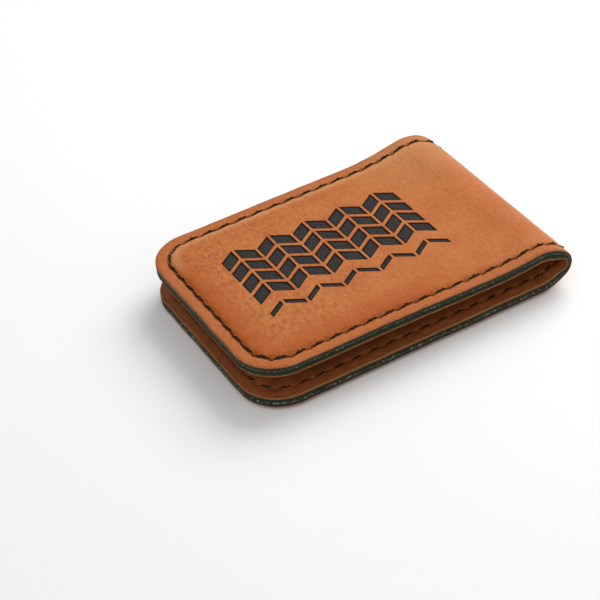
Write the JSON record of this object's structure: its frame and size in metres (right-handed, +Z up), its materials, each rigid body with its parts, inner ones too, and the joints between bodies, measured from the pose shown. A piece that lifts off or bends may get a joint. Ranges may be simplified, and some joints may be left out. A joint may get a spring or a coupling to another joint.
{
  "type": "folding magnetic money clip",
  "caption": "Folding leatherette money clip: a sewn two-layer strip with boards and magnets in its flaps, which pinch folded banknotes.",
  "frame": {"origin": "middle of the base, on the plane that the bottom flap's raised panel rests on", "axes": "+X along the clip towards the fold's nose, +Y across it, +Z up through the two flaps"},
  "size_m": [0.0642, 0.0444, 0.0105],
  "materials": {
    "cover_leatherette": "soft satin with a fine grain",
    "lining_leatherette": "soft satin with a fine grain",
    "sewing_thread": "twisted, slightly glossy",
    "stiffener_board": "matt pressed fibre",
    "magnet_plating": "nickel plate"
  },
  "bodies": {
    "bottom_flap": {"bottom_cover": "cover_leatherette", "bottom_lining": "lining_leatherette", "bottom_board": "stiffener_board", "bottom_magnet_front": "magnet_plating", "bottom_magnet_back": "magnet_plating", "bottom_cover_thread": "sewing_thread", "bottom_lining_thread": "sewing_thread"},
    "lower_bend": {"lower_bend_cover": "cover_leatherette", "lower_bend_lining": "lining_leatherette", "lower_bend_cover_thread": "sewing_thread", "lower_bend_lining_thread": "sewing_thread"},
    "nose_bend": {"nose_bend_cover": "cover_leatherette", "nose_bend_lining": "lining_leatherette", "nose_bend_cover_thread": "sewing_thread"},
    "upper_bend": {"upper_bend_cover": "cover_leatherette", "upper_bend_lining": "lining_leatherette", "upper_bend_cover_thread": "sewing_thread", "upper_bend_lining_thread": "sewing_thread"},
    "top_flap": {"top_cover": "cover_leatherette", "top_lining": "lining_leatherette", "top_board": "stiffener_board", "top_magnet_front": "magnet_plating", "top_magnet_back": "magnet_plating", "top_cover_thread": "sewing_thread", "top_lining_thread": "sewing_thread"}
  },
  "joints": [
    {"name": "flap_opening", "type": "hinge", "parent": "upper_bend", "child": "top_flap", "pos_m": [0.02819, 0, 0.00967], "axis": [0, 1, 0], "range_deg": [-0.9, 45], "stiffness_Nm_per_rad": 0.01, "springref_deg": -0.9},
    {"name": "upper_nose_bending", "type": "hinge", "parent": "nose_bend", "child": "upper_bend", "pos_m": [0.03176, 0, 0.00664], "axis": [0, 1, 0], "range_deg": [-0.9, 45]},
    {"name": "lower_nose_bending", "type": "hinge", "parent": "lower_bend", "child": "nose_bend", "pos_m": [0.03176, 0, 0.00426], "axis": [0, 1, 0], "range_deg": [-0.9, 45]},
    {"name": "base_bending", "type": "hinge", "parent": "bottom_flap", "child": "lower_bend", "pos_m": [0.02819, 0, 0.00123], "axis": [0, 1, 0], "range_deg": [-0.9, 45]}
  ],
  "couplings": [
    {"joint": "upper_nose_bending", "follows": "flap_opening", "ratio": 1},
    {"joint": "lower_nose_bending", "follows": "flap_opening", "ratio": 1},
    {"joint": "base_bending", "follows": "flap_opening", "ratio": 1}
  ]
}
